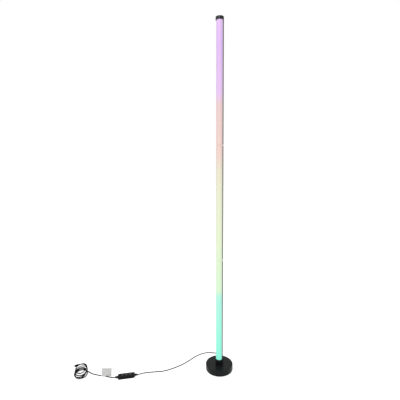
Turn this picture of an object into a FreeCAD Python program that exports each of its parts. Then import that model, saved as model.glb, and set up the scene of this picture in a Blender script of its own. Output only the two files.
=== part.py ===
import FreeCAD, Part
import math
import os

# Corner floor lamp: a round weighted base, a slim upright made of three screwed sections with a
# half-round milky diffuser in front of a black channel, and a free cord with an in-line controller,
# a blank label flag, a loose coil and a low-voltage socket on its end.
# Millimetres.  +Z is up, -Y is the lamp's front, the origin is the middle of the base's underside.

# ---------------------------------------------------------------- driving dimensions: base

base_diameter = 120.0
base_height = 26.0
pad_thickness = 2.0
pad_inset = 5.0                 # the pad's rim stays this far inside the base's rim
plate_thickness = 2.0
cover_wall = 2.4
cover_top_thickness = 2.6
cover_floor_gap = 1.6           # the cover's lower rim hangs clear of the floor
cover_rim_radius = 1.6
weight_wall_gap = 0.6
boss_diameter = 9.0
boss_inset = 14.0               # from the base's rim to the bosses' middles
boss_count = 3
boss_first_angle = 30.0
boss_screw_margin = 4.0         # the cover's screws stop this far below its bosses' roots
cord_exit_drop = 15.0           # from the base's top down to the lead's way out
lead_slot_width = 21.0          # the slot under the weight for the lead and its clamp

# ---------------------------------------------------------------- driving dimensions: upright

pole_width = 28.0               # across the diffuser and the channel
channel_depth = 22.0            # from the diffuser's long edges to the channel's back
pole_forward = 4.0              # the diffuser's axis stands this far in front of the base's axis
section_length = 488.0
channel_wall = 1.5
channel_back_radius = 3.0
web_distance = 7.0              # from the diffuser's long edges to the web that carries the board
web_thickness = 1.5
port_hole_diameter = 2.9        # screw ports at the two rear corners of the channel
port_wall = 1.4
port_bite = 0.3                 # each port is sunk this far into the walls beside it
groove_depth = 0.6              # grooves that hold the diffuser's hooks
groove_width = 1.6
groove_distance = 3.2
diffuser_wall = 1.5
leg_thickness = 1.0
hook_height = 0.45
hook_width = 1.0
seam_gap = 0.2                  # between the diffuser's long edges and the channel's

# ---------------------------------------------------------------- driving dimensions: socket, joints, cap

socket_wall = 2.3
socket_floor = 2.0
socket_ledge = 3.0              # how far the step that the upright stands on reaches in
socket_step = 9.0               # from the socket's floor up to that step
socket_rise = 26.2              # the socket stands this far above the base's top
socket_flange_width = 4.0
socket_flange_thickness = 2.4
socket_edge_radius = 0.9
joint_thickness = 4.0           # the flange that shows between two sections
joint_band_height = 4.0         # the half-round band under the flange, in front only
spigot_length = 22.0
core_diameter = 4.0             # the hole that lightens a coupler's plugs
core_distance = 11.5
joint_screw_distance = 11.0     # from the flange to the screw's axis
joint_screw_length = 7.0
cap_height = 13.0
cap_overhang = 3.0              # in front, past the diffuser
cap_back_overhang = 0.6         # behind, past the channel
cap_edge_radius = 2.2
cap_spigot_length = 10.0

# ---------------------------------------------------------------- driving dimensions: light boards

board_width = 16.0
board_thickness = 1.2
board_end_gap = 2.0
led_size = 5.0
led_height = 1.6
led_pitch = 30.0
led_end_margin = 15.0
link_width = 8.0
link_height = 4.0
link_reach = 5.0                # how far each half of a board link lies on its board
terminal_width = 8.0
terminal_depth = 8.0
terminal_length = 10.0
terminal_rise = 14.0            # the terminal's foot above the socket's mouth

# ---------------------------------------------------------------- driving dimensions: cord and what is on it

cord_diameter = 4.0
cord_floor_gap = 0.05
bushing_flange_diameter = 10.0
bushing_flange_thickness = 2.0
bushing_neck_diameter = 6.8
bushing_tail_diameter = 8.0
bushing_tip_diameter = 6.0
bushing_tail_length = 8.0
clamp_length = 8.0
clamp_width = 18.0
clamp_roof = 2.0
lead_bend_radius = 10.0
lead_rise_distance = 12.5       # from the diffuser's long edges back to the lead behind the web

controller_length = 72.0
controller_width = 24.0
controller_height = 12.5
controller_wall = 1.6
controller_corner_radius = 7.0
controller_edge_radius = 1.2
controller_centre = FreeCAD.Vector(-387.0, -136.8, 0.0)
controller_turn = 22.5          # degrees, from +X towards +Y
controller_board_length = 48.0
controller_board_thickness = 1.2
controller_board_height = 3.6   # the board's underside
case_boss_wall = 1.4
case_boss_inset = 7.5           # from the case's end to the middle of its boss
case_rib_thickness = 1.6
driver_chip_length = 4.0
driver_chip_width = 6.0
driver_chip_height = 1.5
transistor_length = 3.0
transistor_width = 1.6
transistor_height = 1.1
transistor_pitch = 5.0
relief_tail_length = 12.0
relief_tail_diameter = 9.5
relief_tip_diameter = 7.4
relief_neck_diameter = 6.0
relief_flange_diameter = 8.0
relief_flange_thickness = 1.5
relief_root = 1.0               # how far the neck is sunk into the tail

button_length = 9.0
button_width = 6.0
button_proud = 0.8
button_travel = 0.6
button_spacing = 16.0
button_flange_width = 1.2
button_flange_thickness = 1.0
button_edge_radius = 0.5
switch_size = 6.0
switch_height = 2.3
plunger_diameter = 3.0
plunger_grip = 0.7              # how deep the plunger stands in its switch at rest

flag_width = 43.0
flag_height = 33.5
flag_thickness = 0.35
flag_wrap_thickness = 0.35
flag_wrap_length = 29.0         # the part of the flag that lies round the cord
flag_foot_gap = 0.3             # between the cord and the leaves beyond the wrap
flag_lean = 18.0                # degrees from upright, away from the viewer
flag_skew = 12.5                # degrees, the leaves aren't stuck quite in line with the cord
flag_shift = 10.5               # the leaves' middle lies this far past the wrap's, towards the lamp

coil_middle = FreeCAD.Vector(-597.8, -142.2, 0.0)
coil_turn = 24.0                # degrees, of the loops' long axis
coil_first_angle = 52.0         # degrees, where the cord joins the lowest loop
coil_turns = 4.8
coil_pitch = 4.75
coil_half_width = 25.0
coil_half_length = 28.0
coil_swell = 1.6                # the loops' width and place waver by this much
coil_growth = 10.0              # the upper loops are this much longer than the lowest
coil_sway = 7.0                 # degrees, how far the loops turn to and fro
coil_lean = 6.5                 # each loop lies this much further to the front
coil_return = 1.8               # and the upper ones come back by this, times the square of the turns
coil_front = 17.0
coil_foot_rise = 0.35           # the cord climbs into its first loop, so the loop starts above the floor

connector_diameter = 9.5
connector_length = 16.5
connector_tail_length = 6.0
connector_tail_diameter = 6.4
connector_tip_diameter = 5.0
connector_edge_radius = 0.6
connector_lift = 4.8            # the connector's axis above the end of the coil
connector_straight = 9.0        # the last straight of the cord before the connector
socket_bore_diameter = 6.2
socket_bore_depth = 9.5
contact_thickness = 0.3
contact_recess = 2.0
pin_diameter = 2.0
pin_recess = 1.0

# ---------------------------------------------------------------- screws and fits

m3_diameter = 3.0
m3_head_diameter = 5.6
m3_head_height = 1.5
case_screw_diameter = 2.0
case_screw_head_diameter = 3.6
case_screw_head_height = 1.4
case_screw_sink = 0.4
case_screw_length = 9.0
port_screw_grip = 8.0           # how far a screw goes into the channel's ports

screw_fit = 0.05                # radial, between a screw and its hole
slide_fit = 0.25                # between pieces that slide together
moving_gap = 0.3                # between a button and the case
edge_tolerance = 0.01           # for picking edges by where they lie

# ---------------------------------------------------------------- places worked out from the sizes

base_radius = base_diameter / 2
boss_circle_radius = base_radius - boss_inset
cord_exit_height = base_height - cord_exit_drop
pole_radius = pole_width / 2
plate_top = pad_thickness + plate_thickness
pole_foot = plate_top + socket_floor + socket_step
cover_underside = base_height - cover_top_thickness
socket_flange_top = cover_underside - seam_gap
weight_top = socket_flange_top - socket_flange_thickness
socket_top = base_height + socket_rise
chamber_front = web_distance + web_thickness
chamber_back = channel_depth - channel_wall
inner_half_width = pole_radius - channel_wall
port_outer_radius = port_hole_diameter / 2 + port_wall
port_x = inner_half_width - port_outer_radius + port_bite
port_y = chamber_back - port_outer_radius + port_bite
cord_radius = cord_diameter / 2
floor_height = cord_radius + cord_floor_gap
section_names = ["lower", "middle", "upper"]
section_pitch = section_length + joint_thickness
lamp_height = pole_foot + len(section_names) * section_pitch - joint_thickness + cap_height


def vector(x, y, z=0.0):
    return FreeCAD.Vector(x, y, z)


def save(node, shape):
    """Write one node's solids, after a check that they are sound."""
    if not shape.isValid():
        print("NOT VALID:", node)
    shape.exportStep("parts/" + node + ".step")
    print(node, "solids", len(shape.Solids), "volume", round(shape.Volume, 1))


def on_pole(shape):
    """Move a shape drawn about the diffuser's axis to where the upright stands."""
    shape.translate(vector(0, -pole_forward))
    return shape


# ---------------------------------------------------------------- outlines

def d_wire(grow):
    """The upright's outline, grown all round: half a circle in front, square with round corners behind."""
    radius = pole_radius + grow
    back = channel_depth + grow
    corner = channel_back_radius + grow
    diagonal = corner * (1 - math.sqrt(0.5))
    points = [vector(radius, 0), vector(radius, back - corner),
              vector(radius - corner, back), vector(corner - radius, back),
              vector(-radius, back - corner), vector(-radius, 0)]
    edges = [Part.LineSegment(points[0], points[1]),
             Part.Arc(points[1], vector(radius - diagonal, back - diagonal), points[2]),
             Part.LineSegment(points[2], points[3]),
             Part.Arc(points[3], vector(diagonal - radius, back - diagonal), points[4]),
             Part.LineSegment(points[4], points[5]),
             Part.Arc(points[5], vector(0, -radius), points[0])]
    return Part.Wire([edge.toShape() for edge in edges])


def d_prism(grow, bottom, top):
    prism = Part.Face(d_wire(grow)).extrude(vector(0, 0, top - bottom))
    prism.translate(vector(0, 0, bottom))
    return prism


def box(x_low, x_high, y_low, y_high, z_low, z_high):
    return Part.makeBox(x_high - x_low, y_high - y_low, z_high - z_low, vector(x_low, y_low, z_low))


def post(radius, height, foot, direction=vector(0, 0, 1)):
    return Part.makeCylinder(radius, height, foot, direction)


def half_ring(bottom, top):
    """The milky shell's section: half a ring in front of the diffuser's axis."""
    ring = post(pole_radius, top - bottom, vector(0, 0, bottom))
    ring = ring.cut(post(pole_radius - diffuser_wall, top - bottom, vector(0, 0, bottom)))
    return ring.common(box(-pole_radius, pole_radius, -pole_radius, 0, bottom, top))


def port_posts(radius, bottom, top):
    return [post(radius, top - bottom, vector(side * port_x, port_y, bottom)) for side in (-1, 1)]


def edges_at(shape, height):
    """The edges of a shape that lie in its level plane at one height."""
    return [edge for edge in shape.Edges
            if abs(edge.BoundBox.ZMin - height) < edge_tolerance and edge.BoundBox.ZLength < edge_tolerance]


def countersunk_screw(diameter, head_diameter, head_height, length, head_top, direction):
    """A screw whose flat head lies at head_top and whose tip points along direction."""
    head = Part.makeCone(head_diameter / 2, diameter / 2, head_height, head_top, direction)
    shank = post(diameter / 2, length, head_top, direction)
    return head.fuse(shank).removeSplitter()


def countersunk_hole(diameter, head_diameter, head_height, length, head_top, direction):
    return countersunk_screw(diameter + 2 * screw_fit, head_diameter + 2 * screw_fit,
                             head_height + screw_fit, length, head_top, direction)


# ---------------------------------------------------------------- base

def boss_places():
    places = []
    for index in range(boss_count):
        angle = math.radians(boss_first_angle + index * 360.0 / boss_count)
        places.append(vector(boss_circle_radius * math.cos(angle), boss_circle_radius * math.sin(angle)))
    return places


base_screw_length = weight_top - pad_thickness - boss_screw_margin
foot_screw_length = pole_foot - pad_thickness + port_screw_grip


def base_screw(place, make):
    return make(m3_diameter, m3_head_diameter, m3_head_height, base_screw_length,
                place + vector(0, 0, pad_thickness), vector(0, 0, 1))


def foot_screw(side, make):
    place = vector(side * port_x, port_y - pole_forward, pad_thickness)
    return make(port_hole_diameter - 2 * screw_fit, m3_head_diameter, m3_head_height,
                foot_screw_length, place, vector(0, 0, 1))


def make_foot_pad():
    return post(base_radius - pad_inset, pad_thickness, vector(0, 0))


def make_base_plate():
    plate = post(base_radius - cover_wall - slide_fit, plate_thickness, vector(0, 0, pad_thickness))
    holes = [base_screw(place, countersunk_hole) for place in boss_places()]
    holes += [foot_screw(side, countersunk_hole) for side in (-1, 1)]
    holes += clamp_screw_shapes(screw_fit)
    return plate.cut(holes)


def make_base_weight():
    height = weight_top - plate_top
    weight = post(base_radius - cover_wall - weight_wall_gap, height, vector(0, 0, plate_top))
    tools = [on_pole(d_prism(slide_fit + socket_wall + weight_wall_gap, plate_top, weight_top))]
    tools += [post(boss_diameter / 2 + weight_wall_gap, height, place + vector(0, 0, plate_top))
              for place in boss_places()]
    tools.append(box(-lead_slot_width / 2, lead_slot_width / 2, 0, base_radius,
                     plate_top, clamp_top() + m3_head_height + weight_wall_gap))
    return weight.cut(tools)


def make_base_cover():
    outer = post(base_radius, base_height - cover_floor_gap, vector(0, 0, cover_floor_gap))
    rims = edges_at(outer, cover_floor_gap) + edges_at(outer, base_height)
    outer = outer.makeFillet(cover_rim_radius, rims)
    hollow = post(base_radius - cover_wall, cover_underside - cover_floor_gap,
                  vector(0, 0, cover_floor_gap))
    cover = outer.cut(hollow)
    bosses = [post(boss_diameter / 2, cover_underside - plate_top, place + vector(0, 0, plate_top))
              for place in boss_places()]
    cover = cover.fuse(bosses)
    tools = [base_screw(place, countersunk_hole) for place in boss_places()]
    tools.append(on_pole(d_prism(slide_fit + socket_wall + slide_fit, cover_underside, base_height)))
    tools.append(post(bushing_neck_diameter / 2 + slide_fit, base_radius,
                      vector(0, 0, cord_exit_height), vector(0, 1, 0)))
    return cover.cut(tools).removeSplitter()


def make_pole_socket():
    sleeve = d_prism(slide_fit + socket_wall, plate_top, socket_top)
    sleeve = sleeve.makeFillet(socket_edge_radius, edges_at(sleeve, socket_top))
    flange = d_prism(slide_fit + socket_wall + socket_flange_width, weight_top, socket_flange_top)
    socket = sleeve.fuse(flange).cut(d_prism(slide_fit, pole_foot, socket_top))
    socket = on_pole(socket.cut(socket_well()))
    holes = [foot_screw(side, countersunk_hole) for side in (-1, 1)]
    holes.append(box(-cord_diameter, cord_diameter, port_y - pole_forward, base_radius,
                     plate_top + socket_floor, cord_exit_height + cord_diameter))
    return socket.cut(holes).removeSplitter()


def socket_well():
    """The hollow under the upright's foot, where the lead comes in, clear of the foot screws' pillars."""
    floor = plate_top + socket_floor
    reach = pole_radius - socket_ledge
    well = post(reach, socket_step, vector(0, 0, floor))
    well = well.fuse(box(-reach, reach, 0, channel_depth - socket_ledge, floor, pole_foot))
    return well.cut(port_posts(port_outer_radius, floor, pole_foot))


# ---------------------------------------------------------------- upright

def section_foot(index):
    return pole_foot + index * section_pitch


def joint_screw_holes(index):
    """Countersunk holes in the back of one section, one near each end that meets a joint."""
    heights = []
    if index > 0:
        heights.append(section_foot(index) + joint_screw_distance)
    if index < len(section_names) - 1:
        heights.append(section_foot(index) + section_length - joint_screw_distance)
    return [joint_screw(height, countersunk_hole) for height in heights]


def joint_screw(height, make):
    return make(m3_diameter, m3_head_diameter, m3_head_height, joint_screw_length,
                vector(0, channel_depth, height), vector(0, -1, 0))


def make_channel(index):
    foot = section_foot(index)
    top = foot + section_length
    shell = d_prism(0, foot, top)
    front = box(-pole_radius, pole_radius, -pole_radius, seam_gap, foot, top)
    tray = box(-inner_half_width, inner_half_width, -pole_radius, web_distance, foot, top)
    chamber = box(-inner_half_width, inner_half_width, chamber_front, chamber_back, foot, top)
    chamber = chamber.cut(port_posts(port_outer_radius, foot, top))
    grooves = box(-inner_half_width - groove_depth, inner_half_width + groove_depth,
                  groove_distance, groove_distance + groove_width, foot, top)
    channel = shell.cut([front, tray, chamber, grooves] + port_posts(port_hole_diameter / 2, foot, top))
    tools = joint_screw_holes(index)
    if index == 0:
        tools.append(terminal_box(slide_fit))
    return on_pole(channel.cut(tools).removeSplitter())


def diffuser_top(index):
    top = section_foot(index) + section_length - seam_gap
    if index < len(section_names) - 1:
        top -= joint_band_height
    return top


def make_diffuser(index):
    foot = section_foot(index) + seam_gap
    top = diffuser_top(index)
    leg_outside = inner_half_width - slide_fit
    leg_inside = leg_outside - leg_thickness
    leg_front = -math.sqrt((pole_radius - diffuser_wall) ** 2 - leg_inside ** 2)
    hook_back = groove_distance + (groove_width + hook_width) / 2
    shapes = []
    for side in (-1, 1):
        x_near, x_far = sorted((side * leg_inside, side * leg_outside))
        shapes.append(box(x_near, x_far, leg_front, hook_back, foot, top))
        x_near, x_far = sorted((side * leg_outside, side * (leg_outside + slide_fit + hook_height)))
        shapes.append(box(x_near, x_far, hook_back - hook_width, hook_back, foot, top))
    return on_pole(half_ring(foot, top).fuse(shapes).removeSplitter())


def spigot(bottom, top):
    """The plug that fills a channel's rear chamber, clear of its walls and of its screw ports."""
    plug = box(-inner_half_width + slide_fit, inner_half_width - slide_fit,
               chamber_front + slide_fit, chamber_back - slide_fit, bottom, top)
    return plug.cut(port_posts(port_outer_radius + slide_fit, bottom, top))


def make_joint(index):
    """The milky coupler above one section, with a plug into each of its two neighbours."""
    bottom = section_foot(index) + section_length
    top = bottom + joint_thickness
    middle = (bottom + top) / 2
    body = d_prism(0, bottom, top).fuse(half_ring(bottom - joint_band_height, bottom))
    body = body.fuse(spigot(bottom - spigot_length, top + spigot_length))
    window = box(-link_width / 2 - slide_fit, link_width / 2 + slide_fit,
                 web_distance - board_thickness - link_height - slide_fit, web_distance - slide_fit,
                 bottom, top)
    core = post(core_diameter / 2, 2 * spigot_length + joint_thickness,
                vector(0, core_distance, bottom - spigot_length))
    holes = [joint_screw(middle + side * (joint_thickness / 2 + joint_screw_distance), countersunk_hole)
             for side in (-1, 1)]
    return on_pole(body.cut([window, core] + holes).removeSplitter())


def make_joint_screws():
    screws = []
    for index in range(len(section_names) - 1):
        middle = section_foot(index) + section_length + joint_thickness / 2
        for side in (-1, 1):
            height = middle + side * (joint_thickness / 2 + joint_screw_distance)
            screws.append(joint_screw(height, countersunk_screw))
    return on_pole(Part.makeCompound(screws))


def board_foot(index):
    if index == 0:
        return socket_top + board_end_gap
    return section_foot(index) + board_end_gap


def board_top(index):
    return section_foot(index) + section_length - board_end_gap


def make_led_board(index):
    board = box(-board_width / 2, board_width / 2, web_distance - board_thickness, web_distance,
                board_foot(index), board_top(index))
    return on_pole(board)


def make_leds(index):
    """A row of square light packages along one board, evenly spread between its end margins."""
    first = board_foot(index) + led_end_margin
    span = board_top(index) - led_end_margin - first
    count = int(span / led_pitch) + 1
    step = span / (count - 1)
    face = web_distance - board_thickness
    leds = [box(-led_size / 2, led_size / 2, face - led_height, face,
                first + number * step - led_size / 2, first + number * step + led_size / 2)
            for number in range(count)]
    return on_pole(Part.makeCompound(leds))


def make_board_link(index):
    """The plug and the socket that join two boards through a coupler's window, face to face."""
    middle = section_foot(index) + section_length + joint_thickness / 2
    reach = joint_thickness / 2 + board_end_gap + link_reach
    face = web_distance - board_thickness
    halves = [box(-link_width / 2, link_width / 2, face - link_height, face, middle - reach, middle),
              box(-link_width / 2, link_width / 2, face - link_height, face, middle, middle + reach)]
    return on_pole(Part.makeCompound(halves))


def terminal_box(grow):
    foot = socket_top + terminal_rise
    return box(-terminal_width / 2 - grow, terminal_width / 2 + grow,
               web_distance, web_distance + terminal_depth + grow,
               foot - grow, foot + terminal_length + grow)


def make_top_cap():
    """Round and proud of the diffuser in front, and almost flush with the channel behind."""
    bottom = lamp_height - cap_height
    reach = channel_depth + cap_overhang
    cap = spigot(bottom - cap_spigot_length, bottom)
    for overhang, y_low, y_high in ((cap_overhang, -reach, 0), (cap_back_overhang, 0, reach)):
        whole = d_prism(overhang, bottom, lamp_height)
        whole = whole.makeFillet(cap_edge_radius, edges_at(whole, lamp_height))
        cap = cap.fuse(whole.common(box(-reach, reach, y_low, y_high, bottom, lamp_height)))
    holes = [cap_screw(side, countersunk_hole) for side in (-1, 1)]
    return on_pole(cap.cut(holes).removeSplitter())


def cap_screw(side, make):
    return make(port_hole_diameter - 2 * screw_fit, m3_head_diameter, m3_head_height,
                cap_height + port_screw_grip, vector(side * port_x, port_y, lamp_height),
                vector(0, 0, -1))


# ---------------------------------------------------------------- lead inside the base

bushing_tip = base_radius + bushing_flange_thickness + bushing_tail_length
bushing_inner_face = base_radius - cover_wall - slide_fit - bushing_flange_thickness


def make_cord_bushing():
    """The moulded strain relief in the base's rear wall, clamped between its two flanges."""
    back = vector(0, 1, 0)
    inner = post(bushing_flange_diameter / 2, bushing_flange_thickness,
                 vector(0, bushing_inner_face, cord_exit_height), back)
    neck = post(bushing_neck_diameter / 2, bushing_tip - bushing_inner_face - bushing_tail_length,
                vector(0, bushing_inner_face, cord_exit_height), back)
    outer = post(bushing_flange_diameter / 2, bushing_flange_thickness,
                 vector(0, base_radius, cord_exit_height), back)
    tail = Part.makeCone(bushing_tail_diameter / 2, bushing_tip_diameter / 2, bushing_tail_length,
                         vector(0, bushing_tip - bushing_tail_length, cord_exit_height), back)
    return inner.fuse([neck, outer, tail]).removeSplitter()


def make_inner_lead():
    """From the strain relief, through the clamp and the socket, then up behind the web."""
    rise_y = lead_rise_distance - pole_forward
    bend_start = vector(0, rise_y + lead_bend_radius, cord_exit_height)
    bend_end = vector(0, rise_y, cord_exit_height + lead_bend_radius)
    diagonal = lead_bend_radius * (1 - math.sqrt(0.5))
    bend_middle = vector(0, rise_y + diagonal, cord_exit_height + diagonal)
    start = vector(0, bushing_inner_face, cord_exit_height)
    end = vector(0, rise_y, socket_top + terminal_rise)
    edges = [Part.LineSegment(start, bend_start), Part.Arc(bend_start, bend_middle, bend_end),
             Part.LineSegment(bend_end, end)]
    return sweep_circle([edge.toShape() for edge in edges], cord_radius, start, vector(0, -1, 0))


def clamp_y():
    return (channel_depth - pole_forward + socket_wall + bushing_inner_face) / 2


def clamp_top():
    return cord_exit_height + cord_radius + clamp_roof


def clamp_screw_shapes(grow):
    reach = clamp_width / 2 - m3_diameter
    return [post(m3_diameter / 2 + grow, clamp_top() - pad_thickness,
                 vector(side * reach, clamp_y(), pad_thickness)) for side in (-1, 1)]


def make_cord_clamp():
    clamp = box(-clamp_width / 2, clamp_width / 2, clamp_y() - clamp_length / 2,
                clamp_y() + clamp_length / 2, plate_top, clamp_top())
    bore = post(cord_radius + slide_fit / 2, clamp_length,
                vector(0, clamp_y() - clamp_length / 2, cord_exit_height), vector(0, 1, 0))
    return clamp.cut([bore] + clamp_screw_shapes(screw_fit))


def make_clamp_screws():
    heads = [post(m3_head_diameter / 2, m3_head_height, vector(screw.CenterOfMass.x, clamp_y(), clamp_top()))
             for screw in clamp_screw_shapes(0)]
    screws = [screw.fuse(head).removeSplitter() for screw, head in zip(clamp_screw_shapes(0), heads)]
    return Part.makeCompound(screws)


# ---------------------------------------------------------------- cord tubes

def sweep_circle(edges, radius, start, direction):
    """One unbroken round tube along a path of tangent edges."""
    ring = Part.Wire(Part.Circle(start, direction, radius).toShape())
    tube = Part.Wire(edges).makePipeShell([ring], True, False)
    if tube.Volume < 0:
        tube.reverse()
    return Part.Solid(tube) if tube.ShapeType != "Solid" else tube


arc_share = 0.45                # of the shorter of two runs, taken by the arc between them


def cord_path(name, points):
    """Straight runs joined by tangent arcs, each as large as its two runs allow."""
    edges = []
    least_radius = None
    run_start = points[0]
    for before, corner, after in zip(points, points[1:], points[2:]):
        towards = (before - corner).normalize()
        away = (after - corner).normalize()
        turn = math.pi - towards.getAngle(away)
        reach = arc_share * min((before - corner).Length, (after - corner).Length)
        radius = reach / math.tan(turn / 2)
        arc_start = corner + towards * reach
        arc_end = corner + away * reach
        middle_way = (towards + away).normalize()
        arc_middle = corner + middle_way * (radius / math.cos(turn / 2) - radius)
        edges.append(Part.LineSegment(run_start, arc_start).toShape())
        edges.append(Part.Arc(arc_start, arc_middle, arc_end).toShape())
        run_start = arc_end
        least_radius = radius if least_radius is None else min(least_radius, radius)
    edges.append(Part.LineSegment(run_start, points[-1]).toShape())
    length = sum(edge.Length for edge in edges)
    print(name, "length", round(length, 1), "least radius", round(least_radius, 1))
    return edges, length


def cord_tube(name, points):
    edges, length = cord_path(name, points)
    start_way = (points[1] - points[0]).normalize()
    tube = sweep_circle(edges, cord_radius, points[0], start_way)
    share = tube.Volume / (math.pi * cord_radius ** 2 * length)
    print(name, "volume over section times length", round(share, 5))
    return tube


# ---------------------------------------------------------------- the loose coil

def coil_point(turns):
    """A point of the coil's centre line: loops of unlike size that fan out as they climb."""
    angle = 2 * math.pi * turns + math.radians(coil_first_angle)
    half_width = coil_half_width + coil_swell * math.sin(2.3 * turns + 0.6)
    half_length = coil_half_length + coil_growth * (1 - math.exp(-1.1 * turns))
    sway = math.radians(coil_sway) * math.sin(1.7 * turns + 0.4)
    across = half_width * math.cos(angle)
    along = half_length * math.sin(angle)
    x = across * math.cos(sway) - along * math.sin(sway) + coil_swell * math.sin(2.1 * turns + 0.3)
    y = across * math.sin(sway) + along * math.cos(sway)
    y += coil_return * turns ** 2 - coil_lean * turns - coil_front
    return coil_place(x, y, floor_height + coil_foot_rise + coil_pitch * turns)


def coil_place(x, y, height):
    """A place given across and along the coil, in the lamp's frame."""
    turn = math.radians(coil_turn)
    return vector(coil_middle.x + x * math.cos(turn) - y * math.sin(turn),
                  coil_middle.y + x * math.sin(turn) + y * math.cos(turn), height)


def coil_way(turns):
    step = 0.0005
    return (coil_point(turns + step) - coil_point(turns - step)).normalize()


def tangent_arc(start, way, end):
    """The arc that leaves start along way and ends at end."""
    chord = end - start
    half = way.getAngle(chord)
    along = vector(chord.x, chord.y, chord.z).normalize()
    bulge = (way - along * way.dot(along)).normalize()
    middle = start + chord * 0.5 + bulge * (chord.Length / 2 * math.tan(half / 2))
    return Part.Arc(start, middle, end).toShape()


def biarc(start, start_way, end, end_way):
    """Two arcs that meet smoothly and match both ends' directions."""
    chord = end - start
    ways = start_way + end_way
    spread = 2 * (1 - start_way.dot(end_way))
    cross = chord.dot(ways)
    reach = (-cross + math.sqrt(cross ** 2 + spread * chord.dot(chord))) / spread
    near = start + start_way * reach
    far = end - end_way * reach
    meet = (near + far) * 0.5
    return [tangent_arc(start, start_way, meet), tangent_arc(meet, (far - near).normalize(), end)]


def make_cord_coil():
    steps = int(round(coil_turns * 4))
    marks = [coil_turns * number / steps for number in range(steps + 1)]
    start = coil_point(0.0)
    end = coil_point(coil_turns)
    edges = [Part.LineSegment(start - coil_way(0.0) * cord_diameter, start).toShape()]
    for here, there in zip(marks, marks[1:]):
        edges += biarc(coil_point(here), coil_way(here), coil_point(there), coil_way(there))
    edges.append(Part.LineSegment(end, end + coil_way(coil_turns) * cord_diameter).toShape())
    length = sum(edge.Length for edge in edges)
    print("cord_coil length", round(length, 1), "least gap to itself", round(least_gap(edges), 2))
    tube = sweep_circle(edges, cord_radius, start - coil_way(0.0) * cord_diameter, coil_way(0.0))
    print("cord_coil volume over section times length",
          round(tube.Volume / (math.pi * cord_radius ** 2 * length), 5))
    return tube


def least_gap(edges):
    """The least gap between stretches of the coil that lie more than a third of a loop apart."""
    points = []
    for edge in edges:
        points += edge.discretize(max(3, int(edge.Length / 1.5)))[:-1]
    skip = int(coil_half_width)
    nearest = min((first - second).Length for number, first in enumerate(points)
                  for second in points[number + skip:])
    return nearest - cord_diameter


# ---------------------------------------------------------------- controller on the cord

cord_height_at_case = controller_height / 2
case_floor = controller_wall
case_roof = controller_height - controller_wall
case_seam = cord_height_at_case
board_top_height = controller_board_height + controller_board_thickness
case_screw_x = controller_length / 2 - case_boss_inset
relief_reach = controller_length / 2 + relief_tail_length


def place_controller(shape):
    shape.rotate(vector(0, 0), vector(0, 0, 1), controller_turn)
    shape.translate(controller_centre)
    return shape


def controller_point(x, y, height):
    turn = math.radians(controller_turn)
    return vector(controller_centre.x + x * math.cos(turn) - y * math.sin(turn),
                  controller_centre.y + x * math.sin(turn) + y * math.cos(turn), height)


def rounded_block(length, width, corner, bottom, top):
    block = box(-length / 2, length / 2, -width / 2, width / 2, bottom, top)
    uprights = [edge for edge in block.Edges if edge.BoundBox.ZLength > edge_tolerance]
    return block.makeFillet(corner, uprights)


def case_blank():
    block = rounded_block(controller_length, controller_width, controller_corner_radius,
                          0, controller_height)
    rims = edges_at(block, 0) + edges_at(block, controller_height)
    return block.makeFillet(controller_edge_radius, rims)


def case_hollow():
    return rounded_block(controller_length - 2 * controller_wall, controller_width - 2 * controller_wall,
                         controller_corner_radius - controller_wall, case_floor, case_roof)


def case_boss(side, bottom, top):
    return post(case_screw_diameter / 2 + case_boss_wall, top - bottom,
                vector(side * case_screw_x, 0, bottom))


def case_screw_hole(side):
    """A counterbore and a hole that is longer than the screw."""
    foot = vector(side * case_screw_x, 0, 0)
    head = post(case_screw_head_diameter / 2 + screw_fit,
                case_screw_sink + case_screw_head_height + screw_fit, foot)
    shank = post(case_screw_diameter / 2 + screw_fit, case_screw_sink + case_screw_length + slide_fit, foot)
    return head.fuse(shank)


def make_controller_bottom():
    shell = case_blank().cut(case_hollow())
    shell = shell.common(box(-controller_length, controller_length, -controller_width, controller_width,
                             0, case_seam))
    ribs = [box(side * controller_board_length / 3 - case_rib_thickness / 2,
                side * controller_board_length / 3 + case_rib_thickness / 2,
                -controller_width / 2 + controller_wall, controller_width / 2 - controller_wall,
                case_floor, controller_board_height) for side in (-1, 1)]
    bosses = [case_boss(side, case_floor, case_seam) for side in (-1, 1)]
    tools = [case_screw_hole(side) for side in (-1, 1)] + [relief_clear_way()]
    return place_controller(shell.fuse(ribs + bosses).cut(tools).removeSplitter())


def relief_clear_way():
    """The end walls' round openings; the bosses inside stay whole."""
    openings = post(relief_neck_diameter / 2 + slide_fit / 2, controller_length,
                    vector(-controller_length / 2, 0, cord_height_at_case), vector(1, 0, 0))
    return openings.cut(box(-controller_length / 2 + controller_wall, controller_length / 2 - controller_wall,
                            -controller_width, controller_width, 0, controller_height))


def button_plan(grow, bottom, top):
    """An oval block, grown all round."""
    width = button_width + 2 * grow
    length = button_length + 2 * grow
    block = box(-(length - width) / 2, (length - width) / 2, -width / 2, width / 2, bottom, top)
    ends = [post(width / 2, top - bottom, vector(side * (length - width) / 2, 0, bottom))
            for side in (-1, 1)]
    return block.fuse(ends).removeSplitter()


def button_places():
    return {"power": button_spacing, "colour": 0.0, "speed": -button_spacing}


def make_controller_top():
    shell = case_blank().cut(case_hollow())
    shell = shell.common(box(-controller_length, controller_length, -controller_width, controller_width,
                             case_seam + seam_gap, controller_height))
    bosses = [case_boss(side, case_seam + seam_gap, case_roof) for side in (-1, 1)]
    tools = [case_screw_hole(side) for side in (-1, 1)] + [relief_clear_way()]
    for x in button_places().values():
        hole = button_plan(moving_gap, case_roof, controller_height)
        hole.translate(vector(x, 0))
        tools.append(hole)
    return place_controller(shell.fuse(bosses).cut(tools).removeSplitter())


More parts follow.
